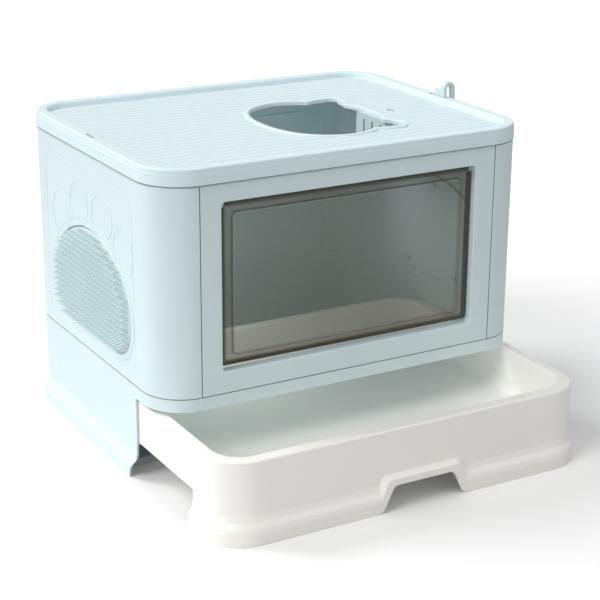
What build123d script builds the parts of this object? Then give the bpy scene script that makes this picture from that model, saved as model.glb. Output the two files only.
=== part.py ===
from build123d import *
import math
import os

# Drawer litter box. Millimetres, X to the right seen from the front, Y to the
# back, Z up. The origin is on the floor, under the middle of the cabinet.

# cabinet
body_width = 506.0
body_depth = 397.4
corner_radius = 52.0
wall = 2.4
base_height = 121.4
panel_height = 250.9
seam_gap = 0.9  # shadow line between the mouldings
seam_depth = 0.9
tongue_height = 6.0  # lip of one moulding inside the next
tongue_thickness = 1.3
tongue_clearance = 0.3

# base
wall_end_setback = 71.7  # cabinet front to the front end of the base's side walls
foot_end_setback = 83.0  # cabinet front to the front end of the foot
band_height = 16.4  # strip of the base over the drawer
foot_flare = 6.0
flare_high = 34.0  # where the flare leaves the wall
flare_low = 14.0  # where it is full
pan_setback = 106.7
pan_thickness = 2.4
pan_lip_height = 9.5
pan_lip_width = 3.0
rail_width = 9.0
rail_thickness = 3.2

# front and back panels
flat_half_width = 201.3  # centre to the upright seam
lap_width = 9.0  # side panel's lip behind the front panel
window_width = 347.0
window_height = 202.6
window_sill = 26.4  # base seam to the window
window_radius = 6.0
reveal_depth = 12.0
reveal_thickness = 2.0
window_round = 1.8
back_field_width = 340.0
back_field_height = 190.0
back_field_rise = 1.2
back_field_radius = 20.0

# flap
flap_side_gap = 1.6
flap_bottom_gap = 3.6
flap_inset = 8.0  # panel face to flap face
flap_thickness = 2.2
flap_flange = 6.0
flap_flange_wall = 1.8
flap_radius = 5.0
barrel_radius = 3.3
barrel_gap = 0.9
barrel_setback = 5.0  # flap's side to the barrel's end
flap_edge_round = 2.0
emboss_side = 15.4  # flap's side to the raised field
emboss_top = 7.7  # under the barrel
emboss_foot = 12.4
emboss_rise = 1.1
emboss_radius = 6.0
emboss_round = 0.8
pin_radius = 1.5
pin_play = 0.05
pin_grip = 7.0  # length in the panel's boss
pin_reach = 9.0  # length in the flap's barrel
pin_end_gap = 0.5
boss_wall = 2.6

# brush pad on each side
pad_half_width = 116.0
pad_low = 144.5
pad_waist = 190.0
pad_top = 280.0
pad_crown_radius = 150.0
pad_centre_y = -4.0
pocket_depth = 4.4
pad_edge_gap = 2.2
pad_plate = 3.8
pad_shoulder = 2.4
pad_floor_gap = 0.3
bristle_margin = 5.6  # plate's edge to the outer bristles
bristle_length = 10.9
bristle_root = 2.2
bristle_tip = 1.3
bristle_step = 9.5  # both ways
clip_length = 12.0
clip_thickness = 2.4
clip_reach = 5.0
clip_play = 0.5
clip_spread = 57.0
clip_height = 8.5  # above the pocket's lower edge
line_depth = 0.5  # engraved lines
line_width = 1.6
line_offset = 7.0
toes = ((-90.0, 278.0, 25.0, 27.0), (-31.0, 303.0, 26.5, 25.5),
        (39.0, 303.0, 29.5, 25.5), (99.0, 276.0, 26.5, 28.5))
border_y = (-131.0, 133.0)
border_z = (132.5, 351.0)
border_radius = 22.0
border_depth = 0.3

# lid
lid_rise = 21.2
lid_overhang = 2.0
lid_rounder = 5.0  # lid's corners over the body's
lid_wall = 2.4
lid_band = 14.7  # seam to the crease in the lid's side
crease_step = 0.7
rim_round = 2.2
rim_inner_round = 2.4
tray_round = 1.6
rim_side = 16.0
rim_front = 16.5
tray_depth = 6.5
tray_radius = 36.0
rib_pitch = 13.35
rib_width = 8.4
rib_rise = 0.9
rib_root = 0.2
rib_end_gap = 4.0
slot_length = 25.0
slot_width = 5.0
slot_centre_y = -1.5

# way in through the lid: half the outline of an animal's head, ears to the right,
# as arcs (through, to), each point its place along X and its distance from the middle
lip_width = 6.0
lip_rise = 2.5
lip_round = 1.3
hole_middle_y = -25.0
hole_start = (-27.0, 0.0)
hole_arcs = (((-25.0, 28.0), (-18.0, 53.0)), ((-3.5, 76.0), (18.0, 91.0)),
             ((44.0, 97.0), (68.0, 91.5)), ((77.0, 87.0), (83.0, 81.0)),
             ((97.0, 85.5), (111.0, 86.5)), ((124.0, 84.5), (128.0, 74.0)),
             ((125.5, 60.0), (117.0, 47.5)), ((125.5, 25.0), (128.5, 0.0)))
hole_round = 4.0

# deodoriser under the lid
cover_width = 81.0
cover_length = 139.0
cover_centre = (184.0, -17.5)
cover_radius = 8.0
cover_thickness = 2.2
cover_play = 0.5
ledge_width = 4.5
ledge_thickness = 2.2
finger_width = 11.0
finger_length = 17.0
finger_at = (158.0, -29.0)
box_left = 127.0
box_rear = 9.0
box_depth = 46.0
box_wall = 1.8
box_radius = 6.0
vent_width = 3.2
vent_height = 22.0
vent_pitch = 19.5
vent_first = -72.5
vent_count = 4
vent_top = 6.5  # under the box's rim
pack_height = 24.0
pack_gap = 2.0
pack_round = 7.0

# drawer
drawer_out = 142.0  # shown pulled out by this much
drawer_side_gap = 0.8
drawer_length = 388.7
drawer_radius = 48.0
drawer_height = 100.0
drawer_wall = 2.6
drawer_rim_side = 15.0
drawer_rim_front = 16.5
drawer_rim_rear = 12.0
drawer_rim_round = 2.6
drawer_rim_inner_round = 2.4
tub_bottom = 42.0
tub_floor = 2.6
tub_radius = 34.0
tub_round = 12.0
apron_bottom = 47.0
apron_gap = 0.3
skirt_end_gap = 1.5
notch_top = 32.0
notch_top_width = 82.0
notch_foot_width = 112.0
notch_corner = 9.0
notch_foot_round = 12.0  # where the notch meets the drawer's lower edge
notch_offset = 11.0
border_width = 14.0  # proud band round the hand notch

# scoop
scoop_hook_y = -19.0
scoop_hook_width = 9.0
scoop_strap = 3.2
scoop_arch = 4.6  # thickness of the hook over the rim
scoop_arch_rise = 20.0
scoop_tab_length = 11.5
scoop_tab_rise = 9.5
scoop_tab_drop = 5.0
scoop_tab_thickness = 3.4
scoop_wall_gap = 3.5
scoop_crank_high = 75.0  # lid's top to the crank in the handle
scoop_crank_low = 103.0
brush_travel = 6.0  # room for the brush to unclip behind the scoop
scoop_brush_gap = 0.6
scoop_handle_length = 118.0
scoop_handle_width = 26.0
scoop_bowl_length = 128.0
scoop_bowl_width = 112.0
scoop_bowl_depth = 30.0
scoop_wall = 2.2
scoop_slot_width = 7.0
scoop_slot_pitch = 13.0
scoop_slot_margin = 14.0

# worked out from the sizes above
seam_low = base_height
seam_high = base_height + panel_height
lid_top = seam_high + lid_rise
front = -body_depth / 2
side = body_width / 2
inner_width = body_width - 2 * wall
inner_depth = body_depth - 2 * wall
inner_radius = corner_radius - wall
band_bottom = base_height - band_height
lid_width = body_width + 2 * lid_overhang
lid_depth = body_depth + 2 * lid_overhang
lid_radius = corner_radius + lid_rounder
tray_width = lid_width - 2 * rim_side
tray_length = lid_depth - 2 * rim_front
tray_floor = lid_top - tray_depth
window_low = seam_low + window_sill
window_high = window_low + window_height
window_centre_z = (window_low + window_high) / 2
hinge_z = window_high - barrel_gap - barrel_radius
hinge_y = front + flap_inset + flap_thickness / 2
drawer_width = inner_width - 2 * drawer_side_gap
drawer_front = front - drawer_out
drawer_mid = drawer_front + drawer_length / 2
rail_top = apron_bottom - apron_gap
cover_bottom = tray_floor - cover_thickness
ledge_top = cover_bottom
ledge_low = ledge_top - ledge_thickness
box_right = cover_centre[0] + cover_width / 2 + ledge_width
box_front = cover_centre[1] - cover_length / 2 - ledge_width
hatch_rear = box_rear - ledge_width
hatch_front = box_front + 2 * ledge_width
rim_slot_x = lid_width / 2 - crease_step - rim_side / 2 - 0.2


def prism(width, depth, radius, low, high, centre=(0.0, 0.0)):
    """Upright block with rounded corners in plan."""
    return extrude(Pos(centre[0], centre[1], low) * RectangleRounded(width, depth, radius),
                   amount=high - low)


def ring(width, depth, radius, thickness, low, high, centre=(0.0, 0.0)):
    """Upright wall with rounded corners in plan."""
    hollow = prism(width - 2 * thickness, depth - 2 * thickness, radius - thickness,
                   low - 1, high + 1, centre)
    return prism(width, depth, radius, low, high, centre) - hollow


def block(x_low, x_high, y_low, y_high, z_low, z_high):
    """Box between two corners."""
    return Pos((x_low + x_high) / 2, (y_low + y_high) / 2, (z_low + z_high) / 2) * Box(
        x_high - x_low, y_high - y_low, z_high - z_low)


def flared(width, depth, radius, high, centre=(0.0, 0.0)):
    """Upright block whose foot flares out in an S, standing on the floor."""
    rise = flare_high - flare_low
    steps = [(flare_high, 0.0), (flare_high - 0.35 * rise, 0.22 * foot_flare),
             (flare_high - 0.7 * rise, 0.82 * foot_flare), (flare_low, foot_flare)]
    solid = prism(width, depth, radius, flare_high, high, centre)
    solid += prism(width + 2 * foot_flare, depth + 2 * foot_flare, radius + foot_flare,
                   0, flare_low, centre)
    for (top, out_top), (bottom, out_bottom) in zip(steps, steps[1:]):
        sections = [Pos(centre[0], centre[1], z) * RectangleRounded(
            width + 2 * out, depth + 2 * out, radius + out)
            for z, out in ((bottom, out_bottom), (top, out_top))]
        solid += loft(sections, ruled=True)
    return solid


def edges_at(shape, height, width, depth, centre):
    """Edges at one height that lie in a rectangle seen from above."""
    x_reach, y_reach = width / 2 + 0.1, depth / 2 + 0.1

    def inside(edge):
        reach = edge.bounding_box()
        return (abs(reach.min.Z - height) < 0.01 and abs(reach.max.Z - height) < 0.01
                and abs(reach.min.X - centre[0]) < x_reach and abs(reach.max.X - centre[0]) < x_reach
                and abs(reach.min.Y - centre[1]) < y_reach and abs(reach.max.Y - centre[1]) < y_reach)
    return shape.edges().filter_by(inside)


def bay_cut(end_y, foot_y):
    """Everything in front of the base's side walls, below the band."""
    far = front - 3 * foot_flare
    outline = Polyline((far, -1), (foot_y, -1), (foot_y - 2, flare_low - 2),
                       (end_y, flare_low + 10), (end_y, band_bottom), (far, band_bottom), close=True)
    face = Plane.YZ * make_face(outline)
    return extrude(face, amount=body_width, both=True)


def make_base_frame():
    shell = flared(body_width, body_depth, corner_radius, base_height)
    shell -= flared(inner_width, inner_depth, inner_radius, base_height + 1)
    shell -= bay_cut(front + wall_end_setback, front + foot_end_setback)
    pan_front = front + pan_setback
    inside = flared(inner_width, inner_depth, inner_radius, base_height)
    shell += inside & block(-body_width, body_width, pan_front, body_depth, 0, pan_thickness)
    shell += inside & block(-body_width, body_width, pan_front, pan_front + pan_lip_width,
                            0, pan_lip_height)
    rail_front = front + wall_end_setback + 1
    rail_back = body_depth / 2 - corner_radius
    for sign in (-1, 1):
        outer = sign * (inner_width / 2 + wall / 2)
        inner = sign * (inner_width / 2 - rail_width)
        shell += block(min(outer, inner), max(outer, inner), rail_front, rail_back,
                       rail_top - rail_thickness, rail_top)
    root = ring(inner_width + 0.2, inner_depth + 0.2, inner_radius + 0.1, tongue_thickness + 0.3,
                base_height - 7, base_height)
    lip = ring(inner_width - 2 * tongue_clearance, inner_depth - 2 * tongue_clearance,
               inner_radius - tongue_clearance, tongue_thickness, base_height - 1,
               base_height + tongue_height)
    shell += root + lip
    shell -= ring(body_width + 2, body_depth + 2, corner_radius + 1, seam_depth + 1,
                  base_height - seam_gap, base_height + 1)
    return shell


def pad_points(grow):
    """Corner points and middle points of the arcs round half the pad."""
    low_radius = pad_waist - pad_low
    low_centre = pad_half_width - low_radius
    crown_z = pad_top - pad_crown_radius
    lift = pad_waist - crown_z
    radius = (pad_crown_radius ** 2 - lift ** 2 - pad_half_width ** 2) / (
        2 * (pad_crown_radius - pad_half_width))
    centre = pad_half_width - radius
    lean = math.atan2(centre, lift)
    half_lean = lean / 2
    middle = (math.pi / 2 + lean) / 2
    diagonal = math.sqrt(0.5)
    return {
        "foot": (low_centre, pad_low - grow),
        "low": (low_centre + (low_radius + grow) * diagonal,
                pad_waist - (low_radius + grow) * diagonal),
        "waist": (pad_half_width + grow, pad_waist),
        "shoulder": (centre + (radius + grow) * math.sin(middle),
                     pad_waist + (radius + grow) * math.cos(middle)),
        "join": ((pad_crown_radius + grow) * math.sin(lean),
                 crown_z + (pad_crown_radius + grow) * math.cos(lean)),
        "brow": ((pad_crown_radius + grow) * math.sin(half_lean),
                 crown_z + (pad_crown_radius + grow) * math.cos(half_lean)),
        "top": (0.0, pad_top + grow),
    }


def pad_face(grow=0.0):
    """The pad's outline, with half a paw's rounded top, grown by a margin."""
    right = pad_points(grow)
    left = {name: (-x, z) for name, (x, z) in right.items()}
    edges = [Line(left["foot"], right["foot"]),
             ThreePointArc(right["foot"], right["low"], right["waist"]),
             ThreePointArc(right["waist"], right["shoulder"], right["join"]),
             ThreePointArc(right["join"], right["brow"], right["top"]),
             ThreePointArc(right["top"], left["brow"], left["join"]),
             ThreePointArc(left["join"], left["shoulder"], left["waist"]),
             ThreePointArc(left["waist"], left["low"], left["foot"])]
    return make_face(Wire(edges))


def on_left_side(depth):
    """Plane on the left wall, seen from outside, some way into the cabinet."""
    return Plane(origin=(-side + depth, pad_centre_y, 0), x_dir=(0, -1, 0), z_dir=(-1, 0, 0))


def outline_groove(face, grown):
    """Engraved line between two outlines."""
    return extrude(on_left_side(line_depth) * (grown - face), amount=line_depth + 1)


def clip_places():
    """Middles of the brush's clips on the left wall: across and up."""
    low = pad_low + clip_height
    return ((-clip_spread, low), (clip_spread, low), (0.0, pad_top - clip_height))


def make_left_side_panel():
    shell = ring(body_width, body_depth, corner_radius, wall, seam_low, seam_high)
    shell &= block(-body_width, -flat_half_width, -body_depth, body_depth, 0, 2 * seam_high)
    for end in (front + wall, body_depth / 2 - 2 * wall):
        shell += block(-flat_half_width - lap_width, -flat_half_width + lap_width,
                       end, end + wall, seam_low + tongue_height + 1, seam_high - tongue_height - 1)
    shell -= extrude(on_left_side(wall + 1) * pad_face(), amount=wall + 2)
    dish = extrude(on_left_side(pocket_depth + wall) * pad_face(wall), amount=pocket_depth + wall)
    dish -= extrude(on_left_side(pocket_depth) * pad_face(), amount=pocket_depth + 1)
    shell += dish
    for across, up in clip_places():
        slot = Pos(across, up) * Rectangle(clip_length + 2 * clip_play, clip_thickness + 2 * clip_play)
        shell -= extrude(on_left_side(pocket_depth + wall + 1) * slot, amount=wall + 2)
    for across, up, half_width, half_height in toes:
        toe = Pos(across, up) * Ellipse(half_width, half_height)
        grown = Pos(across, up) * Ellipse(half_width + line_width, half_height + line_width)
        shell -= outline_groove(toe, grown)
    shell -= outline_groove(pad_face(line_offset), pad_face(line_offset + line_width))
    middle = Pos(pad_centre_y - sum(border_y) / 2, sum(border_z) / 2)
    length = border_y[1] - border_y[0]
    height = border_z[1] - border_z[0]
    border = middle * RectangleRounded(length, height, border_radius)
    border -= middle * RectangleRounded(length - 2 * line_width, height - 2 * line_width,
                                        border_radius - line_width)
    return shell - extrude(on_left_side(border_depth) * border, amount=border_depth + 1)


def inside_pad(across, up, margin):
    """True where a point lies inside the pad's outline by a margin."""
    low_radius = pad_waist - pad_low
    crown_z = pad_top - pad_crown_radius
    lift = pad_waist - crown_z
    radius = (pad_crown_radius ** 2 - lift ** 2 - pad_half_width ** 2) / (
        2 * (pad_crown_radius - pad_half_width))
    across = abs(across)
    if up < pad_low + margin:
        return False
    if up < pad_waist:
        reach = across - (pad_half_width - low_radius)
        return reach <= 0 or math.hypot(reach, up - pad_waist) <= low_radius - margin
    if math.hypot(across, up - crown_z) > pad_crown_radius - margin:
        return False
    centre = pad_half_width - radius
    if math.atan2(across - centre, up - pad_waist) < math.atan2(centre, lift):
        return True
    return math.hypot(across - centre, up - pad_waist) <= radius - margin


def bristle_places():
    """Bristle roots on the pad, in a square grid."""
    margin = pad_edge_gap + bristle_margin
    middle = (pad_low + pad_top) / 2
    rows = int((pad_top - pad_low) / 2 / bristle_step) + 1
    columns = int(pad_half_width / bristle_step) + 1
    places = []
    for row in range(-rows, rows + 1):
        for column in range(-columns, columns + 1):
            across = column * bristle_step
            up = middle + row * bristle_step
            if inside_pad(across, up, margin):
                places.append((across, up))
    return places


def make_left_brush():
    back = pocket_depth - pad_floor_gap
    plate = extrude(on_left_side(back) * pad_face(-pad_edge_gap), amount=pad_plate)
    plate = fillet(plate.faces().sort_by(Axis.X)[0].edges(), pad_shoulder)
    for across, up in clip_places():
        clip = Pos(across, up) * Rectangle(clip_length, clip_thickness)
        plate += extrude(on_left_side(back + clip_reach) * clip, amount=clip_reach + 0.5)
    root = on_left_side(back - pad_plate + 0.4)
    tip = on_left_side(back - pad_plate - bristle_length)
    strands = []
    for across, up in bristle_places():
        spot = Pos(across, up)
        strands.append(loft([root * (spot * Rectangle(bristle_root, bristle_root)),
                             tip * (spot * Rectangle(bristle_tip, bristle_tip))], ruled=True))
    print("bristles on one pad:", len(strands))
    return plate.fuse(*strands)


def upright_face(centre_z, width, height, radius):
    """Rounded rectangle in the XZ plane, drawn with its face to the front."""
    return Plane(origin=(0, 0, centre_z), x_dir=(1, 0, 0), z_dir=(0, -1, 0)) * RectangleRounded(
        width, height, radius)


def upright_block(centre_z, width, height, radius, y_low, y_high):
    """Rounded rectangle seen from the front, between two depths."""
    return extrude(Pos(0, y_high, 0) * upright_face(centre_z, width, height, radius),
                   amount=y_high - y_low)


def flat_plate(y_low, y_high):
    """Flat wall panel between the upright seams."""
    half = flat_half_width - seam_gap
    return block(-half, half, y_low, y_high, seam_low, seam_high)


def make_front_panel():
    back = front + reveal_depth
    plate = flat_plate(front, front + wall)
    plate -= upright_block(window_centre_z, window_width, window_height, window_radius,
                           front - 1, back)
    rounded = plate.edges().filter_by(lambda e: abs(e.center().Y - front) < 0.01
                                      and abs(e.center().X) < window_width / 2 + 1
                                      and abs(e.center().Z - window_centre_z) < window_height / 2 + 1)
    plate = fillet(rounded, window_round)
    reveal = upright_block(window_centre_z, window_width + 2 * reveal_thickness,
                           window_height + 2 * reveal_thickness,
                           window_radius + reveal_thickness, front + wall - 0.2, back)
    for sign in (-1, 1):
        start = sign * (window_width / 2 + reveal_thickness / 2)
        boss = Plane(origin=(start, hinge_y, hinge_z), z_dir=(sign, 0, 0)) * Circle(pin_radius + boss_wall)
        reveal += extrude(boss, amount=pin_grip)
    reveal &= block(-body_width, body_width, front + wall - 0.2, back + 8, 0, 2 * seam_high)
    plate += reveal
    plate -= upright_block(window_centre_z, window_width, window_height, window_radius,
                           front + wall - 0.3, back + 9)
    for sign in (-1, 1):
        bore = Plane(origin=(sign * (window_width / 2 - 1), hinge_y, hinge_z),
                     z_dir=(sign, 0, 0)) * Circle(pin_radius)
        plate -= extrude(bore, amount=pin_grip + 1)
    return plate


def make_back_panel():
    high = body_depth / 2
    plate = flat_plate(high - wall, high)
    middle = (seam_low + seam_high) / 2
    field = upright_block(middle, back_field_width, back_field_height, back_field_radius,
                          high - wall - back_field_rise, high - back_field_rise)
    hollow = upright_block(middle, back_field_width - 2 * wall, back_field_height - 2 * wall,
                           back_field_radius - wall, high - back_field_rise, high + 1)
    return plate + field - hollow


def make_flap_hinge_pins():
    pins = []
    for sign in (-1, 1):
        end = sign * (window_width / 2 + pin_grip)
        start = Plane(origin=(end, hinge_y, hinge_z), z_dir=(-sign, 0, 0)) * Circle(pin_radius)
        pins.append(extrude(start, amount=pin_grip + flap_side_gap + barrel_setback
                            + pin_reach - pin_end_gap))
    return Compound(pins)


def make_flap_door():
    width = window_width - 2 * flap_side_gap
    low = window_low + flap_bottom_gap
    high = hinge_z
    face = front + flap_inset
    middle = (low + high) / 2
    plate = upright_block(middle, width, high - low, flap_radius, face,
                          face + flap_thickness + flap_flange)
    plate -= upright_block(middle, width - 2 * flap_flange_wall, high - low - 2 * flap_flange_wall,
                           flap_radius - flap_flange_wall, face + flap_thickness,
                           face + flap_thickness + flap_flange + 1)
    plate -= block(-width, width, face + flap_thickness, face + 2 * flap_flange + flap_thickness,
                   high - barrel_radius - 2, high + 1)
    plate = fillet(plate.faces().sort_by(Axis.Y)[0].edges(), flap_edge_round)
    field_high = high - barrel_radius - emboss_top
    field_low = low + emboss_foot
    field = upright_block((field_low + field_high) / 2, width - 2 * emboss_side, field_high - field_low,
                          emboss_radius, face - emboss_rise, face + 0.2)
    plate += fillet(field.faces().sort_by(Axis.Y)[0].edges(), emboss_round)
    end = width / 2 - barrel_setback
    for sign in (-1, 1):
        plate -= block(min(sign * end, sign * width), max(sign * end, sign * width), face - 1,
                       face + flap_thickness + 1, high - barrel_radius - 1, high + 1)
    barrel = Plane(origin=(-end, hinge_y, hinge_z), z_dir=(1, 0, 0)) * Circle(barrel_radius)
    plate += extrude(barrel, amount=2 * end)
    for sign in (-1, 1):
        bore = Plane(origin=(sign * (end + 1), hinge_y, hinge_z),
                     z_dir=(-sign, 0, 0)) * Circle(pin_radius + pin_play)
        plate -= extrude(bore, amount=pin_reach + 1)
    return plate


def hole_face(grow=0.0):
    """Outline of the way in, grown by a margin."""
    edges = []
    for sign in (-1, 1):
        start = hole_start
        for through, end in hole_arcs:
            edges.append(ThreePointArc(*((x, hole_middle_y + sign * away)
                                         for x, away in (start, through, end))))
            start = end
    face = make_face(Wire(edges))
    if grow > 0:
        face = offset(face, grow, kind=Kind.INTERSECTION)
    return fillet(face.vertices().filter_by(lambda v: abs(v.Y - hole_middle_y) > 1), hole_round)


def rib_rows(length):
    """Middles of the ribs on the lid, from the front to the back."""
    count = int((length - 2 * rib_end_gap) / rib_pitch)
    return [(index - (count - 1) / 2) * rib_pitch for index in range(count)]


def rib(x_low, x_high, middle, floor):
    """Low bar with an arched top, let a little into the floor."""
    left, right = middle - rib_width / 2, middle + rib_width / 2
    low = floor - rib_root
    face = make_face(Wire([Line((right, floor), (right, low)), Line((right, low), (left, low)),
                           Line((left, low), (left, floor)),
                           ThreePointArc((left, floor), (middle, floor + rib_rise), (right, floor))]))
    return extrude(Plane(origin=(x_low, 0, 0), x_dir=(0, 1, 0), z_dir=(1, 0, 0)) * face,
                   amount=x_high - x_low)


def ribs(x_low, x_high, y_low, y_high, floor):
    """Ribs of the lid between two corners."""
    rows = [y for y in rib_rows(tray_length) if y_low + rib_width / 2 < y < y_high - rib_width / 2]
    return [rib(x_low, x_high, y, floor) for y in rows]


def make_lid():
    top = lid_top
    upper = (lid_width - 2 * crease_step, lid_depth - 2 * crease_step, lid_radius - crease_step)
    shell = prism(lid_width, lid_depth, lid_radius, seam_high, seam_high + lid_band)
    cap = prism(*upper, seam_high + lid_band - 1, top)
    cap = fillet(cap.faces().sort_by(Axis.Z)[-1].edges(), rim_round)
    shell += cap
    shell -= prism(lid_width - 2 * (lid_wall + crease_step), lid_depth - 2 * (lid_wall + crease_step),
                   lid_radius - lid_wall - crease_step, seam_high - 1, top - lid_wall)
    shell += ring(body_width, body_depth, corner_radius, wall + 1, seam_high, seam_high + 4)
    shell += prism(tray_width + 2 * lid_wall, tray_length + 2 * lid_wall, tray_radius + lid_wall,
                   tray_floor - lid_wall, top - lid_wall / 2)
    tray = prism(tray_width, tray_length, tray_radius, tray_floor, top + 1)
    shell -= fillet(tray.faces().sort_by(Axis.Z)[0].edges(), tray_round)
    shell = fillet(edges_at(shell, top, tray_width, tray_length, (0.0, 0.0)), rim_inner_round)
    half = tray_width / 2 - rib_end_gap
    shell += ribs(-half, half, -tray_length / 2, tray_length / 2, tray_floor)
    shell -= extrude(Pos(0, 0, seam_high) * hole_face(lip_width / 2), amount=2 * lid_rise)
    lip = extrude(Pos(0, 0, tray_floor - lid_wall) * hole_face(lip_width),
                  amount=lid_wall + lip_rise)
    lip -= extrude(Pos(0, 0, seam_high) * hole_face(), amount=2 * lid_rise)
    shell += fillet(lip.faces().sort_by(Axis.Z)[-1].edges(), lip_round)
    shelf_rear = cover_centre[1] + cover_length / 2 + ledge_width
    shell += prism(box_right - box_left, shelf_rear - box_front, box_radius, ledge_low,
                   tray_floor - 0.2, ((box_left + box_right) / 2, (box_front + shelf_rear) / 2))
    shell -= prism(cover_width, cover_length, cover_radius, ledge_top, lid_top, cover_centre)
    shell -= prism(cover_width - 2 * ledge_width, hatch_rear - hatch_front, cover_radius - 2,
                   seam_high, lid_top, (cover_centre[0], (hatch_front + hatch_rear) / 2))
    for sign in (-1, 1):
        x = sign * rim_slot_x
        shell -= block(x - slot_width / 2, x + slot_width / 2, slot_centre_y - slot_length / 2,
                       slot_centre_y + slot_length / 2, top - 2 * lid_wall, top + 1)
    shell += ring(inner_width - 2 * tongue_clearance, inner_depth - 2 * tongue_clearance,
                  inner_radius - tongue_clearance, tongue_thickness, seam_high - tongue_height,
                  seam_high + 3)
    shell -= ring(body_width + 12, body_depth + 12, corner_radius + 6, seam_depth + 6,
                  seam_high - 1, seam_high + seam_gap)
    return shell


def make_filter_cover():
    x_mid, y_mid = cover_centre
    width = cover_width - 2 * cover_play
    length = cover_length - 2 * cover_play
    plate = prism(width, length, cover_radius - cover_play, cover_bottom, tray_floor, cover_centre)
    plate += ribs(x_mid - width / 2, x_mid + width / 2, y_mid - length / 2, y_mid + length / 2,
                  tray_floor)
    plate &= prism(width, length, cover_radius - cover_play, cover_bottom, lid_top, cover_centre)
    x, y = finger_at
    diamond = make_face(Polyline((x - finger_width / 2, y), (x, y - finger_length / 2),
                                 (x + finger_width / 2, y), (x, y + finger_length / 2), close=True))
    diamond = fillet(diamond.vertices(), 1.5)
    return plate - extrude(Pos(0, 0, cover_bottom - 1) * diamond, amount=2 * cover_thickness + 2)


def make_filter_box():
    centre = ((box_left + box_right) / 2, (box_front + box_rear) / 2)
    width = box_right - box_left
    length = box_rear - box_front
    floor = ledge_low - box_depth
    box = prism(width, length, box_radius, floor, ledge_low, centre)
    box -= prism(width - 2 * box_wall, length - 2 * box_wall, box_radius - box_wall,
                 floor + box_wall, ledge_low + 1, centre)
    high = ledge_low - vent_top
    for index in range(vent_count):
        y = vent_first + index * vent_pitch
        box -= block(centre[0] - width, centre[0] + width, y - vent_width / 2, y + vent_width / 2,
                     high - vent_height, high)
        box -= block(centre[0] - width / 4, centre[0] + width / 4, y - vent_width / 2,
                     y + vent_width / 2, floor - 1, floor + box_wall + 1)
    return box


def make_carbon_pack():
    width = cover_width - 2 * ledge_width - 2 * pack_gap
    length = hatch_rear - hatch_front - 2 * pack_gap
    low = ledge_low - box_depth + box_wall
    pack = prism(width, length, pack_round + 1, low, low + pack_height,
                 (cover_centre[0], (hatch_front + hatch_rear) / 2))
    return fillet(pack.faces().sort_by(Axis.Z)[0].edges() + pack.faces().sort_by(Axis.Z)[-1].edges(),
                  pack_round)


def drawer_centre(front_inset, rear_inset):
    """Middle of a plan that is set in from the drawer's front and rear, and its length."""
    length = drawer_length - front_inset - rear_inset
    return (0.0, drawer_front + front_inset + length / 2), length


def notch_face(grow):
    """Hand notch in the drawer's front edge, grown by a margin, in the XZ plane."""
    top = notch_top + grow
    half_top = notch_top_width / 2 + grow
    half_foot = notch_foot_width / 2 + grow
    edge = half_foot + 2 * notch_foot_round
    outline = Polyline((-edge, -notch_top), (-edge, 0), (-half_foot, 0), (-half_top, top), (half_top, top),
                       (half_foot, 0), (edge, 0), (edge, -notch_top), close=True)
    face = make_face(outline)
    face = fillet(face.vertices().filter_by(lambda v: v.Y > 1), notch_corner)
    feet = face.vertices().filter_by(lambda v: abs(v.Y) < 0.1 and abs(v.X) < edge - 1)
    face = fillet(feet, notch_foot_round)
    return Plane(origin=(notch_offset, 0, 0), x_dir=(1, 0, 0), z_dir=(0, -1, 0)) * face


def make_drawer():
    centre = (0.0, drawer_mid)
    outer = (drawer_width, drawer_length, drawer_radius)
    hollow = (drawer_width - 2 * drawer_wall, drawer_length - 2 * drawer_wall,
              drawer_radius - drawer_wall)
    body = flared(*outer, drawer_height, centre)
    body = fillet(body.faces().sort_by(Axis.Z)[-1].edges(), drawer_rim_round)
    border = loft([Pos(0, drawer_front + out, 0) * notch_face(grow) for out, grow in (
        (1.0, border_width), (-foot_flare, border_width - foot_flare))], ruled=True)
    border &= block(-body_width, body_width, -body_depth, body_depth, 0, drawer_height)
    body += border
    skirt_end = drawer_front + wall_end_setback - skirt_end_gap
    body -= block(-body_width, body_width, skirt_end, body_depth, -1, apron_bottom)
    body -= flared(*hollow, drawer_height - drawer_wall, centre)
    tub_centre, tub_length = drawer_centre(drawer_rim_front, drawer_rim_rear)
    tub_width = drawer_width - 2 * drawer_rim_side
    tub = prism(tub_width + 2 * drawer_wall, tub_length + 2 * drawer_wall, tub_radius + drawer_wall,
                tub_bottom, drawer_height - drawer_wall / 2, tub_centre)
    cavity = prism(tub_width, tub_length, tub_radius, tub_bottom + tub_floor, drawer_height + 1,
                   tub_centre)
    cavity = fillet(cavity.faces().sort_by(Axis.Z)[0].edges(), tub_round)
    body += tub
    body -= cavity
    body = fillet(edges_at(body, drawer_height, tub_width, tub_length, tub_centre),
                  drawer_rim_inner_round)
    body -= extrude(Pos(0, drawer_front + 2 * drawer_wall + 1, 0) * notch_face(0),
                    amount=2 * drawer_wall + foot_flare + 4)
    return body


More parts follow.
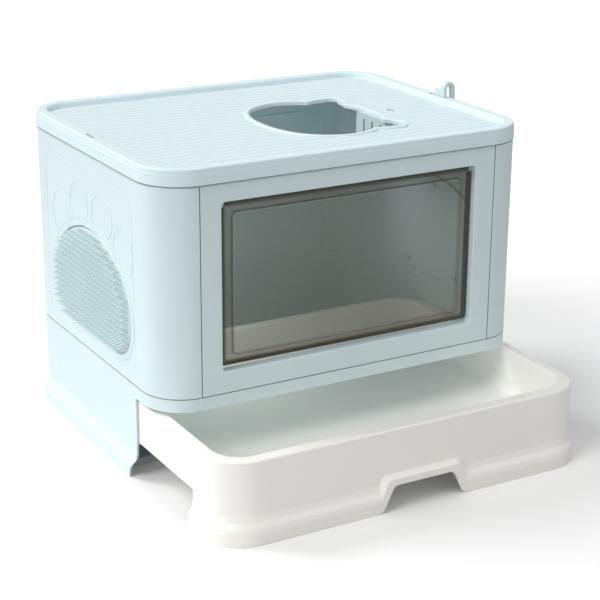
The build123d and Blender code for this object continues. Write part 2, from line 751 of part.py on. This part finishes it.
def make_scoop():
    tab_x = rim_slot_x
    back = side + lid_overhang + scoop_wall_gap
    outer = back + scoop_strap
    hook_low = scoop_hook_y - scoop_hook_width / 2
    hook_high = scoop_hook_y + scoop_hook_width / 2
    tab_low = lid_top - scoop_tab_drop
    arch_left = tab_x - scoop_tab_thickness / 2
    arch_radius = (outer - arch_left) / 2
    arch_z = lid_top + scoop_arch_rise - arch_radius
    middle = (outer + arch_left) / 2
    handle_low = lid_top - scoop_handle_length
    strap_low = lid_top - lid_rise - 5
    face = make_face(Wire([
        Line((arch_left, lid_top + 0.3), (arch_left, arch_z)),
        ThreePointArc((arch_left, arch_z), (middle, arch_z + arch_radius), (outer, arch_z)),
        Line((outer, arch_z), (outer, strap_low)),
        Line((outer, strap_low), (back, strap_low)),
        Line((back, strap_low), (back, lid_top)),
        Line((back, lid_top), (outer - scoop_arch, arch_z)),
        ThreePointArc((outer - scoop_arch, arch_z), (middle, arch_z + arch_radius - scoop_arch),
                      (arch_left + scoop_arch, arch_z)),
        Line((arch_left + scoop_arch, arch_z), (arch_left + scoop_arch, lid_top + 0.3)),
        Line((arch_left + scoop_arch, lid_top + 0.3), (arch_left, lid_top + 0.3))]))
    plane = Plane(origin=(0, hook_low, 0), x_dir=(1, 0, 0), z_dir=(0, -1, 0))
    scoop = extrude(plane * face, amount=-scoop_hook_width)
    slot_low = slot_centre_y - slot_length / 2 + 1
    tab_high = slot_low + scoop_tab_length
    half = scoop_tab_thickness / 2
    tab = block(tab_x - half, tab_x + half, hook_high - 1, tab_high, lid_top + 0.3,
                lid_top + scoop_tab_rise)
    tab += block(tab_x - half, tab_x + half, slot_low, tab_high, tab_low, lid_top + 1)
    scoop += tab
    handle_top = lid_top - lid_rise
    handle_mid = scoop_hook_y
    crank_high = lid_top - scoop_crank_high
    crank_low = lid_top - scoop_crank_low
    bristle_reach = bristle_length + pad_plate + pad_floor_gap - pocket_depth
    bowl_back = side + bristle_reach + brush_travel + scoop_brush_gap
    profile = make_face(Polyline((back, handle_top), (outer, handle_top), (outer, crank_high),
                                 (bowl_back + scoop_strap, crank_low),
                                 (bowl_back + scoop_strap, handle_low), (bowl_back, handle_low),
                                 (bowl_back, crank_low), (back, crank_high), close=True))
    grip_plane = Plane(origin=(0, handle_mid, 0), x_dir=(1, 0, 0), z_dir=(0, -1, 0))
    scoop += extrude(grip_plane * profile, amount=scoop_handle_width / 2, both=True)
    back = bowl_back
    bowl_low = handle_low - scoop_bowl_length
    plan = Plane(origin=(back, handle_mid, (handle_low + bowl_low) / 2), x_dir=(0, 1, 0),
                 z_dir=(1, 0, 0))
    bowl = extrude(plan * RectangleRounded(scoop_bowl_width, scoop_bowl_length, 18),
                   amount=scoop_bowl_depth)
    bowl -= extrude(plan.offset(scoop_wall) * RectangleRounded(
        scoop_bowl_width - 2 * scoop_wall, scoop_bowl_length - 2 * scoop_wall, 18 - scoop_wall),
        amount=scoop_bowl_depth)
    slant = make_face(Polyline((back + scoop_bowl_depth + 1, bowl_low - 1),
                               (back + scoop_wall + 4, bowl_low - 1),
                               (back + scoop_bowl_depth + 1, bowl_low + 0.55 * scoop_bowl_length),
                               close=True))
    bowl -= extrude(Plane(origin=(0, 0, 0), x_dir=(1, 0, 0), z_dir=(0, -1, 0)) * slant,
                    amount=body_width, both=True)
    count = int((scoop_bowl_width - 2 * scoop_slot_margin) / scoop_slot_pitch) + 1
    for index in range(count):
        y = handle_mid + (index - (count - 1) / 2) * scoop_slot_pitch
        for part_low, part_high in ((0.12, 0.46), (0.54, 0.88)):
            bowl -= block(back - 1, back + scoop_wall + 1, y - scoop_slot_width / 2,
                          y + scoop_slot_width / 2, bowl_low + part_low * scoop_bowl_length,
                          bowl_low + part_high * scoop_bowl_length)
    return scoop + bowl


def write(name, shape):
    """One STEP file for each piece."""
    solids = shape.solids()
    part = solids[0] if len(solids) == 1 else Compound(solids)
    part.label = name
    export_step(part, f"parts/{name}.step")
    print(name, len(solids), round(sum(s.volume for s in solids) / 1000, 1), "cm3")


def main():
    os.makedirs("parts", exist_ok=True)
    write("base_frame", make_base_frame())
    left_panel = make_left_side_panel()
    write("left_side_panel", left_panel)
    write("right_side_panel", mirror(left_panel, about=Plane.YZ))
    write("front_panel", make_front_panel())
    write("back_panel", make_back_panel())
    write("flap_hinge_pins", make_flap_hinge_pins())
    write("flap_door", make_flap_door())
    left_brush = make_left_brush()
    write("left_brush", left_brush)
    write("right_brush", mirror(left_brush, about=Plane.YZ))
    write("lid", make_lid())
    write("filter_cover", make_filter_cover())
    write("filter_box", make_filter_box())
    write("carbon_pack", make_carbon_pack())
    write("drawer", make_drawer())
    write("scoop", make_scoop())


main()
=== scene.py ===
import math

import bpy
from mathutils import Matrix, Vector


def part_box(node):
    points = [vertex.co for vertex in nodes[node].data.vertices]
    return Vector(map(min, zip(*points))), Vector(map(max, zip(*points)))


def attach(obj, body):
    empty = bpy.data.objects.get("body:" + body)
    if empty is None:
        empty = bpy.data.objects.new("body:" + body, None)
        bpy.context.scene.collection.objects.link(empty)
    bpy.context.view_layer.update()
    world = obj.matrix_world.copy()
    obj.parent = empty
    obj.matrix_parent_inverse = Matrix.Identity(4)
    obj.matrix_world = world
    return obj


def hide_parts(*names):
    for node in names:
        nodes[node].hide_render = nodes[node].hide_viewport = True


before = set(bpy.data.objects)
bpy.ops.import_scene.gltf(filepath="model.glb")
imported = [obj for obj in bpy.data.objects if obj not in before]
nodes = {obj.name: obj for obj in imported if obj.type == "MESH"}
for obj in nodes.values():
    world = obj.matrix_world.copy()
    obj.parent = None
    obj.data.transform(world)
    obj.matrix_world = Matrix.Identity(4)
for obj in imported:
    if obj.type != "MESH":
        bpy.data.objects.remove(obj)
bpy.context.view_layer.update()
print("frame loaded:", len(nodes), "nodes")

mm = 0.001


def pickNone():
    if bpy.context.object and bpy.context.object.mode != "OBJECT":
        bpy.ops.object.mode_set(mode="OBJECT")
    bpy.ops.object.select_all(action="DESELECT")


def pick(obj):
    pickNone()
    obj.select_set(True)
    bpy.context.view_layer.objects.active = obj
    return obj


def useModifier(obj, kind, **settings):
    # add a modifier, set it and apply it
    pick(obj)
    bpy.ops.object.modifier_add(type=kind)
    modifier = obj.modifiers[-1]
    for key, value in settings.items():
        setattr(modifier, key, value)
    bpy.ops.object.modifier_apply(modifier=modifier.name)


def joinPieces(first, others):
    pick(first)
    for other in others:
        other.select_set(True)
    bpy.ops.object.join()
    return first


def copyMesh(source, name):
    copy = bpy.data.objects.new(name, source.data.copy())
    bpy.context.scene.collection.objects.link(copy)
    return copy


def editMode(obj, mode="FACE"):
    # edit mode with nothing selected
    pick(obj)
    bpy.ops.object.mode_set(mode="EDIT")
    bpy.ops.mesh.select_mode(type=mode)
    bpy.ops.mesh.select_all(action="DESELECT")


def selectVerts(obj, test):
    # select the vertices that pass a test on their place, from object mode back into edit mode
    editMode(obj, "VERT")
    bpy.ops.object.mode_set(mode="OBJECT")
    for vertex in obj.data.vertices:
        vertex.select = test(vertex.co)
    bpy.ops.object.mode_set(mode="EDIT")


def selectFaces(obj, test):
    # select the faces whose middle and normal pass a test
    editMode(obj, "FACE")
    bpy.ops.object.mode_set(mode="OBJECT")
    for face in obj.data.polygons:
        face.select = test(face.center, face.normal)
    bpy.ops.object.mode_set(mode="EDIT")


def smoothShape(obj, angle=50):
    # smooth shading that keeps flat faces flat
    pick(obj)
    bpy.ops.object.shade_smooth_by_angle(angle=math.radians(angle))
    useModifier(obj, "WEIGHTED_NORMAL", mode="FACE_AREA", weight=100, keep_sharp=True)


def finishPiece(obj, look, body, slot, *replaced):
    obj.data.materials.clear()
    obj.data.materials.append(look)
    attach(obj, body)
    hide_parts(*replaced)
    print("piece", obj.name, len(obj.data.polygons), "faces")


class Wire:
    # a socket that can be added, multiplied and so on

    def __init__(self, net, socket):
        self.net = net
        self.socket = socket

    def maths(self, operation, other, swap=False):
        pair = (other, self) if swap else (self, other)
        return self.net.node("ShaderNodeMath", {"operation": operation}, {0: pair[0], 1: pair[1]})

    def __add__(self, other):
        return self.maths("ADD", other)

    def __radd__(self, other):
        return self.maths("ADD", other, True)

    def __sub__(self, other):
        return self.maths("SUBTRACT", other)

    def __rsub__(self, other):
        return self.maths("SUBTRACT", other, True)

    def __mul__(self, other):
        return self.maths("MULTIPLY", other)

    def __rmul__(self, other):
        return self.maths("MULTIPLY", other, True)

    def __pow__(self, other):
        return self.maths("POWER", other)

    def __gt__(self, other):
        return self.maths("GREATER_THAN", other)

    def __lt__(self, other):
        return self.maths("LESS_THAN", other)

    def __abs__(self):
        return self.maths("ABSOLUTE", 0.0)

    def least(self, other):
        return self.maths("MINIMUM", other)

    def most(self, other):
        return self.maths("MAXIMUM", other)


class Net:
    # the node tree of one material

    def __init__(self, name):
        self.material = bpy.data.materials.new(name)
        self.material.use_nodes = True
        self.tree = self.material.node_tree
        self.shader = self.tree.nodes["Principled BSDF"]
        self.place = self.node("ShaderNodeTexCoord", out="Object")

    def link(self, value, socket):
        if isinstance(value, Wire):
            self.tree.links.new(value.socket, socket)
        else:
            socket.default_value = value

    def node(self, kind, settings=None, inputs=None, out=0):
        new = self.tree.nodes.new(kind)
        for key, value in (settings or {}).items():
            setattr(new, key, value)
        for key, value in (inputs or {}).items():
            self.link(value, new.inputs[key])
        return Wire(self, new.outputs[out])

    def noise(self, scale, detail=2.0, roughness=0.5):
        return self.node("ShaderNodeTexNoise", {}, {
            "Vector": self.place, "Scale": scale, "Detail": detail, "Roughness": roughness}, "Fac")

    def axis(self, name):
        return self.node("ShaderNodeSeparateXYZ", {}, {"Vector": self.place}, name)

    def mix(self, amount, first, second):
        return self.node("ShaderNodeMix", {"data_type": "RGBA"}, {0: amount, 6: first, 7: second}, 2)

    def ramp(self, value, low, high):
        return self.node("ShaderNodeMapRange", {"clamp": True}, {
            "Value": value, "From Min": low, "From Max": high})

    def bump(self, height, distance, strength=1.0):
        return self.node("ShaderNodeBump", {}, {
            "Height": height, "Distance": distance, "Strength": strength}, "Normal")

    def finish(self, **sockets):
        for key, value in sockets.items():
            self.link(value, self.shader.inputs[key.replace("_", " ")])
        return self.material


def tint(red, green, blue):
    # a colour as it looks on a screen, 0 to 255, made linear
    def linear(value):
        value = value / 255
        return value / 12.92 if value <= 0.04045 else ((value + 0.055) / 1.055) ** 2.4
    return (linear(red), linear(green), linear(blue), 1.0)


# glow is the share of light that goes a little way into the plastic
plasticLooks = {
    "cabinet": {"colour": tint(217, 233, 237), "rough": 0.42, "grain": 0.00004, "glow": 0.1},
    "lid": {"colour": tint(223, 240, 245), "rough": 0.4, "grain": 0.00004},
    "drawer": {"colour": tint(251, 249, 244), "rough": 0.34, "grain": 0.00002, "glow": 0.1},
    "box": {"colour": tint(192, 208, 210), "rough": 0.4, "grain": 0.00004},
    "scoop": {"colour": tint(207, 222, 225), "rough": 0.36, "grain": 0.00002},
    "pin": {"colour": tint(205, 218, 224), "rough": 0.4, "grain": 0.00002},
    "brush": {"colour": tint(226, 243, 245), "rough": 0.38, "grain": 0.00001},
}
glowPath = {"radius": (0.9, 1.2, 1.1), "depth": 0.0012}
moulding = {"cloudScale": 9.0, "cloudShare": 0.5, "cloudShade": 0.955, "fineScale": 2600.0, "finePolish": 0.06,
            "dustScale": 60.0, "dustPolish": 0.14, "bump": 0.6, "bend": 1.5}
# painted shade: places in mm where less light gets in, darkened in the colour, and how bright they stay
paintedShade = {
    "seam": 0.3, "baseSeam": (120.4, 121.5), "upright": (200.3, 201.4), "lidSeamShadow": (373.1, 374.1),
    "ribs": 0.91, "ribFoot": (386.7, 387.7), "ribBlend": 0.3, "tray": (238.0, 184.0),
    "root": 0.78, "strand": (252.9, 262.5),
    "body": {"half": (253.0, 198.7), "radius": 52.0, "skin": 1.5},
}


def bandBetween(value, limits):
    return (value > limits[0] * mm) * (value < limits[1] * mm)


def outlineDistance(first, second, half, radius):
    # how far a spot is outside a rounded rectangle round the middle, in metres, less than 0 inside it
    radius = radius * mm
    one, two = abs(first) - (half[0] * mm - radius), abs(second) - (half[1] * mm - radius)
    corner = (one.most(0.0) ** 2 + two.most(0.0) ** 2) ** 0.5
    return corner + one.most(two).least(0.0) - radius


def paintedShadePlaces(net, name):
    # how much painted shade darkens the colour: 0 where the plastic is as bright as it is, up to 1 in a seam,
    # along the lid's lowest outer edge, between the ribs or at a bristle's root
    x, y, z = net.axis("X"), net.axis("Y"), net.axis("Z")
    # cabinet: a painted shadow, dark lines in the seam over the base and in the upright seams beside the front
    # panel
    if name == "cabinet":
        body = paintedShade["body"]
        outer = outlineDistance(x, y, body["half"], body["radius"]) > -body["skin"] * mm
        upright = bandBetween(abs(x), paintedShade["upright"]) * (z > paintedShade["baseSeam"][1] * mm)
        return bandBetween(z, paintedShade["baseSeam"]).most(upright) * outer * (1 - paintedShade["seam"])
    # lid: painted shade at the feet of the ribs, and a painted shadow line along the lid's lowest outer edge,
    # where it meets the walls
    if name == "lid":
        low, high = paintedShade["ribFoot"]
        inside = (abs(x) < paintedShade["tray"][0] * mm) * (abs(y) < paintedShade["tray"][1] * mm)
        foot = (1 - net.ramp(z, (low + paintedShade["ribBlend"]) * mm, high * mm)) * (z > low * mm) * inside
        edge = bandBetween(z, paintedShade["lidSeamShadow"]) * (1 - inside)
        return (foot * (1 - paintedShade["ribs"])).most(edge * (1 - paintedShade["seam"]))
    # brush: painted shade, darker towards the bristles' roots
    if name == "brush":
        root, tip = paintedShade["strand"]
        return (1 - net.ramp(abs(x), root * mm, tip * mm)) * (1 - paintedShade["root"])
    return None


def mouldedPlastic(name, colour, rough, grain, glow=0.0):
    # satin plastic: a fine spark-eroded grain, faint cloudiness, and polish that varies a little
    net = Net(name + "Plastic")
    cloud = net.noise(moulding["cloudScale"], 3.0)
    fine = net.noise(moulding["fineScale"], 2.0, 0.6)
    dust = net.noise(moulding["dustScale"], 4.0, 0.6)
    deep = tuple(moulding["cloudShade"] * part for part in colour[:3]) + (1.0,)
    base = net.mix(net.ramp(cloud, 0.3, 0.75) * moulding["cloudShare"], colour, deep)
    # painted shade darkens the colour in seams, along the lid's lowest edge, between the ribs and at the
    # bristles' roots
    shade = paintedShadePlaces(net, name)
    if shade is not None:
        base = net.mix(shade, base, (0.0, 0.0, 0.0, 1.0))
    polish = rough + (dust - 0.5) * moulding["dustPolish"] + (fine - 0.5) * moulding["finePolish"]
    return net.finish(Base_Color=base, Roughness=polish, Normal=net.bump(fine, grain, moulding["bump"]),
                      IOR=moulding["bend"], Subsurface_Weight=glow,
                      Subsurface_Radius=glowPath["radius"], Subsurface_Scale=glowPath["depth"])


plastics = {name: mouldedPlastic(name, **look) for name, look in plasticLooks.items()}

# dark is the painted shade along the flap's rim and the step of its raised field, and glint a painted
# highlight along the step
smoke = {
    "warm": tint(104, 93, 72), "cool": tint(112, 103, 84), "dark": tint(32, 31, 27),
    "glint": tint(172, 170, 156),
    "hazeScale": 14.0, "fineScale": 420.0, "polish": 0.06, "hazePolish": 0.05, "grain": 0.00002, "bend": 1.6,
    "cover": 0.26, "edgeCover": 0.5, "edgeBlend": 0.3, "hazeCover": 0.03, "borderCover": 0.1, "most": 0.97,
    "rim": 7.5, "rimDark": 0.85, "rimCover": 0.6,
    "line": 1.3, "lineDark": 0.6, "lineCover": 0.3, "glintShare": 0.7, "glintCover": 0.2,
    "sheet": {"half": (171.9, 99.05), "middle": 250.45, "radius": 5.0},
    "field": {"half": (156.5, 85.7), "middle": 249.5, "radius": 6.0},
}


def fromOutline(net, shape):
    # how far a spot of the flap is outside one of its outlines
    return outlineDistance(net.axis("X"), net.axis("Z") - shape["middle"] * mm, shape["half"], shape["radius"])


def smokedPlastic():
    # clear smoked sheet: denser along its rim and along the step of its raised field; the rim is also darker,
    # partly for the thicker plastic there and partly as painted shade, and the step carries a painted shadow
    # line and a painted highlight line
    net = Net("smokedFlap")
    haze = net.noise(smoke["hazeScale"], 3.0)
    fine = net.noise(smoke["fineScale"], 2.0)
    edge = net.node("ShaderNodeLayerWeight", {}, {"Blend": smoke["edgeBlend"]}, "Facing")
    rim = net.ramp(fromOutline(net, smoke["sheet"]), -smoke["rim"] * mm, -0.3 * smoke["rim"] * mm)
    step = fromOutline(net, smoke["field"])
    line = smoke["line"] * mm
    # painted shadow line just outside the step of the raised field
    shadow = (step > -0.3 * line) * (step < line)
    glint = (step > -1.3 * line) * (step < -0.3 * line)
    base = net.mix(net.ramp(haze, 0.35, 0.7), smoke["warm"], smoke["cool"])
    # the rim darkens partly for the thicker plastic seen edge-on and partly as painted shade; the step line is
    # painted shadow
    base = net.mix((rim * smoke["rimDark"]).most(shadow * smoke["lineDark"]), base, smoke["dark"])
    # painted highlight along the inside of the step
    base = net.mix(glint * smoke["glintShare"], base, smoke["glint"])
    cover = smoke["cover"] + edge * smoke["edgeCover"] + haze * smoke["hazeCover"]
    cover = cover + (step > line) * smoke["borderCover"] + rim * smoke["rimCover"]
    cover = cover + shadow * smoke["lineCover"] + glint * smoke["glintCover"]
    return net.finish(Base_Color=base, Roughness=smoke["polish"] + haze * smoke["hazePolish"],
                      Alpha=cover.least(smoke["most"]), Normal=net.bump(fine, smoke["grain"], 0.3),
                      IOR=smoke["bend"])


# cloth of the charcoal pack
cloth = {"dark": tint(34, 34, 36), "pale": tint(74, 76, 80), "thread": 420.0, "wander": 0.6,
         "fluffScale": 120.0, "rough": 0.92, "height": 0.0003, "sheen": 0.35}


def thread(net, direction):
    return net.node("ShaderNodeTexWave", {"bands_direction": direction}, {
        "Vector": net.place, "Scale": cloth["thread"], "Distortion": cloth["wander"], "Detail": 2.0}, "Fac")


def packCloth():
    # dark cloth round the charcoal: a plain weave and a little fluff
    net = Net("packCloth")
    weave = thread(net, "X") * 0.5 + thread(net, "Y") * 0.5
    fluff = net.noise(cloth["fluffScale"], 5.0, 0.65)
    base = net.mix(net.ramp(weave + fluff * 0.4, 0.3, 1.1), cloth["dark"], cloth["pale"])
    return net.finish(Base_Color=base, Roughness=cloth["rough"],
                      Normal=net.bump(weave + fluff * 0.5, cloth["height"]), Sheen_Weight=cloth["sheen"])


flapLook = smokedPlastic()
clothLook = packCloth()
print("materials made")

# the mouldings keep the frame's own shapes
dressed = {
    "base_frame": "cabinet", "left_side_panel": "cabinet", "right_side_panel": "cabinet",
    "front_panel": "cabinet", "back_panel": "cabinet", "lid": "lid", "filter_box": "box",
    "filter_cover": "lid", "drawer": "drawer", "flap_hinge_pins": "pin",
}
for node, look in dressed.items():
    nodes[node].data.materials.clear()
    nodes[node].data.materials.append(plastics[look])
nodes["flap_door"].data.materials.clear()
nodes["flap_door"].data.materials.append(flapLook)
print("mouldings dressed:", len(dressed) + 1)


def mergedCopy(node, name):
    # the same shape as a node, with its loose triangles joined up
    piece = copyMesh(nodes[node], name)
    pick(piece)
    bpy.ops.mesh.customdata_custom_splitnormals_clear()
    editMode(piece, "EDGE")
    bpy.ops.mesh.select_all(action="SELECT")
    bpy.ops.mesh.remove_doubles(threshold=0.002 * mm)
    pickNone()
    return piece


# the scoop: a copy of the frame's, with its edges rounded; its hook shows on the lid's rim
scoopLook = {"soft": 0.9, "segments": 2, "flat": 0.4, "sharp": 38}


def makeScoop():
    scoop = mergedCopy("scoop", "litterScoop")
    editMode(scoop, "EDGE")
    bpy.ops.mesh.select_all(action="SELECT")
    bpy.ops.mesh.dissolve_limited(angle_limit=math.radians(scoopLook["flat"]), delimit={"NORMAL"})
    bpy.ops.mesh.select_all(action="DESELECT")
    bpy.ops.mesh.edges_select_sharp(sharpness=math.radians(scoopLook["sharp"]))
    bpy.ops.mesh.bevel(offset=scoopLook["soft"] * mm, segments=scoopLook["segments"], clamp_overlap=False,
                       loop_slide=False)
    pickNone()
    smoothShape(scoop)
    return scoop


finishPiece(makeScoop(), plastics["scoop"], "scoop", "scoop_plastic", "scoop")

# brush pads: half a paw in outline, rows of tapered bristles on a plate
brush = {
    "halfWidth": 116.0, "low": 144.5, "waist": 190.0, "top": 280.0, "crown": 150.0, "middleY": -4.0,
    "plateFace": -252.7, "bristleMargin": 4.8, "step": 7.45, "rootRadius": 1.35, "tipRadius": 1.05,
    "length": 10.8, "sides": 8, "tipRound": 0.6, "sunk": 0.45,
}


def arcReach(centre, radius, rise):
    # how far an arc reaches sideways at a height over its middle
    return centre + math.sqrt(max(radius ** 2 - rise ** 2, 0.0))


def padReach(up, margin):
    # half the pad's width at a height, a margin inside its outline, or None above or below it
    wide, low, waist, top, crown = (brush[key] for key in ("halfWidth", "low", "waist", "top", "crown"))
    foot = waist - low
    crownZ = top - crown
    lift = waist - crownZ
    shoulder = (crown ** 2 - lift ** 2 - wide ** 2) / (2 * (crown - wide))
    centre = wide - shoulder
    joinZ = crownZ + crown * lift / math.hypot(lift, centre)
    if up < low + margin or up > top - margin:
        return None
    if up < waist:
        return arcReach(wide - foot, foot - margin, up - waist)
    if up < joinZ:
        return arcReach(centre, shoulder - margin, up - waist)
    return arcReach(0.0, crown - margin, up - crownZ)


def makeBristle():
    # one tapered strand with a rounded tip, lying along -X with its root at the origin
    pickNone()
    bpy.ops.mesh.primitive_cone_add(
        vertices=brush["sides"], radius1=brush["rootRadius"] * mm, radius2=brush["tipRadius"] * mm,
        depth=brush["length"] * mm, location=(-brush["length"] / 2 * mm, 0, 0), rotation=(0, -math.pi / 2, 0))
    strand = bpy.context.object
    bpy.ops.object.transform_apply(location=True, rotation=True, scale=True)
    selectFaces(strand, lambda middle, normal: normal.x < -0.9)
    bpy.ops.mesh.bevel(offset=brush["tipRound"] * brush["tipRadius"] * mm, segments=2)
    selectFaces(strand, lambda middle, normal: normal.x > 0.9)
    bpy.ops.mesh.delete(type="ONLY_FACE")
    pickNone()
    return strand


def makeLeftBrush():
    plate = mergedCopy("left_brush", "leftBrush")
    face = brush["plateFace"] * mm
    selectVerts(plate, lambda spot: spot.x < face - 0.05 * mm)  # the frame's plain strands
    bpy.ops.mesh.delete(type="VERT")
    selectFaces(plate, lambda middle, normal: abs(middle.x - face) < 0.02 * mm and normal.x < -0.9)
    bpy.ops.mesh.delete(type="FACE")
    bpy.ops.mesh.select_mode(type="EDGE")
    bpy.ops.mesh.select_non_manifold(extend=False, use_multi_face=False, use_non_contiguous=False,
                                     use_verts=False)
    bpy.ops.mesh.edge_face_add()
    pickNone()
    strand = makeBristle()
    strands = []
    middle = (brush["low"] + brush["top"]) / 2
    rows = int((brush["top"] - middle) / brush["step"])
    for row in range(-rows, rows + 1):
        up = middle + row * brush["step"]
        reach = padReach(up, brush["bristleMargin"])
        if reach is None:
            continue
        columns = int(reach / brush["step"])
        for column in range(-columns, columns + 1):
            along = column * brush["step"]
            copy = copyMesh(strand, "strand")
            copy.data.transform(Matrix.Translation((face + brush["sunk"] * mm, (brush["middleY"] + along) * mm,
                                                    up * mm)))
            strands.append(copy)
    bpy.data.objects.remove(strand)
    print("bristles on one pad:", len(strands))
    joinPieces(plate, strands)
    pick(plate)
    bpy.ops.object.shade_smooth_by_angle(angle=math.radians(50))
    return plate


leftBrush = makeLeftBrush()
rightBrush = copyMesh(leftBrush, "rightBrush")
editMode(rightBrush)
bpy.ops.mesh.select_all(action="SELECT")
bpy.ops.transform.resize(value=(-1, 1, 1), center_override=(0, 0, 0))
bpy.ops.mesh.flip_normals()
pickNone()
finishPiece(leftBrush, plastics["brush"], "left_brush", "brush_plastic", "left_brush")
finishPiece(rightBrush, plastics["brush"], "right_brush", "brush_plastic", "right_brush")

# charcoal pack: a small sewn cloth pad, swollen by a cloth simulation
charcoal = {"margin": 2.5, "thin": 0.62, "round": 4, "voxel": 2.6, "pressure": 4.0, "frames": 20, "cap": 5.0}


def makePack():
    low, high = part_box("carbon_pack")
    size = high - low
    pickNone()
    bpy.ops.mesh.primitive_cube_add(size=1, location=(low + high) / 2)
    pad = bpy.context.object
    pad.name = "charcoalPack"
    margin = 2 * charcoal["margin"] * mm
    bpy.ops.transform.resize(value=(size.x - margin, size.y - margin, size.z * charcoal["thin"]))
    bpy.ops.object.transform_apply(location=True, rotation=True, scale=True)
    useModifier(pad, "BEVEL", width=charcoal["round"] * mm, segments=3)
    useModifier(pad, "REMESH", mode="VOXEL", voxel_size=charcoal["voxel"] * mm)
    start = [vertex.co.copy() for vertex in pad.data.vertices]
    pick(pad)
    bpy.ops.object.modifier_add(type="CLOTH")
    swelling = pad.modifiers[-1]
    swelling.settings.use_pressure = True
    swelling.settings.uniform_pressure_force = charcoal["pressure"]
    swelling.settings.effector_weights.gravity = 0
    for step in range(1, charcoal["frames"] + 1):
        bpy.context.scene.frame_set(step)
    bpy.ops.object.modifier_apply(modifier=swelling.name)
    bpy.context.scene.frame_set(1)
    for vertex, origin in zip(pad.data.vertices, start):
        move = vertex.co - origin
        if move.length > charcoal["cap"] * mm:
            vertex.co = origin + move * (charcoal["cap"] * mm / move.length)
        vertex.co.z = max(vertex.co.z, low.z)
    useModifier(pad, "SUBSURF", levels=1, render_levels=1)
    pick(pad)
    bpy.ops.object.shade_smooth()
    return pad


pack = makePack()
finishPiece(pack, clothLook, "lid", "pack_cloth", "carbon_pack")

# room, light and camera
room = {"floorSize": 30.0, "seenShade": 0.9, "seenLift": 0.07, "nearShade": 0.58, "farShade": 0.25,
        "nearReach": 0.55, "farReach": 1.5}


def grey(level):
    return (level, level, level, 1.0)


def paleFloor():
    # white to the camera; to everything else a white sheet that ends in a dim room
    net = Net("paleFloor")
    seen = net.node("ShaderNodeLightPath", out="Is Camera Ray")
    away = net.node("ShaderNodeVectorMath", {"operation": "LENGTH"}, {0: net.place}, "Value")
    bounce = net.mix(net.ramp(away, room["nearReach"], room["farReach"]),
                     grey(room["nearShade"]), grey(room["farShade"]))
    return net.finish(Base_Color=net.mix(seen, bounce, grey(room["seenShade"])), Roughness=0.9,
                      Emission_Color=net.mix(seen, grey(0.0), grey(room["seenLift"])), Emission_Strength=1.0,
                      Specular_IOR_Level=0.0)


pickNone()
bpy.ops.mesh.primitive_plane_add(size=room["floorSize"], location=(0, 0, -0.2 * mm))
floor = bpy.context.object
floor.name = "floor"
bpy.ops.object.transform_apply(location=True, rotation=True, scale=True)
floor.data.materials.append(paleFloor())

world = bpy.data.worlds.new("paleRoom")
bpy.context.scene.world = world
world.use_nodes = True
worldLight = {"onObject": 0.46, "seen": 1.0}
tree = world.node_tree
path = tree.nodes.new("ShaderNodeLightPath")
mixer = tree.nodes.new("ShaderNodeMix")
mixer.data_type = "FLOAT"
tree.links.new(path.outputs["Is Camera Ray"], mixer.inputs[0])
mixer.inputs[2].default_value = worldLight["onObject"]
mixer.inputs[3].default_value = worldLight["seen"]
tree.nodes["Background"].inputs["Color"].default_value = (1.0, 1.0, 1.0, 1.0)
tree.links.new(mixer.outputs[0], tree.nodes["Background"].inputs["Strength"])

lamps = {
    "windowKey": {"kind": "SUN", "at": (-2.6, -0.5, 2.2), "power": 1.25, "tone": (1, 1, 1), "angle": 30},
    "backKey": {"kind": "SUN", "at": (-1.6, 2.0, 2.4), "power": 1.55, "tone": (1, 1, 1), "angle": 25},
    "frontFill": {"kind": "SUN", "at": (1.9, -2.1, 0.5), "power": 0.68, "tone": (1, 0.995, 0.97), "angle": 90},
    # low and to the left, so that it doesn't reach over the lid
    "leftLow": {"kind": "AREA", "at": (-1.2, -0.2, 0.18), "aim": (0, -0.1, 0.15), "power": 2.1,
                "tone": (1, 1, 1), "size": 1.5, "height": 0.33},
    # light that gets in through the pale walls
    "insideFill": {"kind": "POINT", "at": (-0.07, -0.02, 0.2), "power": 0.3, "tone": (0.92, 1, 0.95),
                   "size": 0.07},
}
for name, lamp in lamps.items():
    pickNone()
    bpy.ops.object.light_add(type=lamp["kind"], location=lamp["at"])
    light = bpy.context.object
    light.name = name
    aim = Vector(lamp.get("aim", (0, 0, 0))) - Vector(lamp["at"])
    light.rotation_euler = aim.to_track_quat("-Z", "Y").to_euler()
    light.data.energy = lamp["power"]
    light.data.color = lamp["tone"]
    if lamp["kind"] == "SUN":
        light.data.angle = math.radians(lamp["angle"])
    elif lamp["kind"] == "AREA":
        light.data.shape = "RECTANGLE"
        light.data.size = lamp["size"]
        light.data.size_y = lamp["height"]
    else:
        light.data.shadow_soft_size = lamp["size"]
    if lamp["kind"] != "SUN":
        light.visible_camera = False
        light.visible_glossy = False

lens = {"at": (-0.965089, -1.75287, 0.84553), "turn": 29.877134, "dip": 19.265353, "roll": 0.402505,
        "focal": 1624.108, "width": 600, "sensor": 36.0}  # focal length in pixels of the picture's width
turn, dip, roll = (math.radians(lens[key]) for key in ("turn", "dip", "roll"))
forward = Vector((math.sin(turn) * math.cos(dip), math.cos(turn) * math.cos(dip), -math.sin(dip)))
across = Vector((math.cos(turn), -math.sin(turn), 0.0))
upward = across.cross(forward)
right = math.cos(roll) * across + math.sin(roll) * upward
top = -math.sin(roll) * across + math.cos(roll) * upward
pickNone()
bpy.ops.object.camera_add(location=lens["at"])
camera = bpy.context.object
camera.name = "camera"
facing = Matrix((right, top, -forward)).transposed().to_4x4()
camera.matrix_world = Matrix.Translation(Vector(lens["at"])) @ facing
camera.data.sensor_width = lens["sensor"]
camera.data.lens = lens["focal"] * lens["sensor"] / lens["width"]
bpy.context.scene.camera = camera
bpy.context.scene.view_settings.view_transform = "Standard"
print("room, light and camera ready")

bpy.context.view_layer.update()
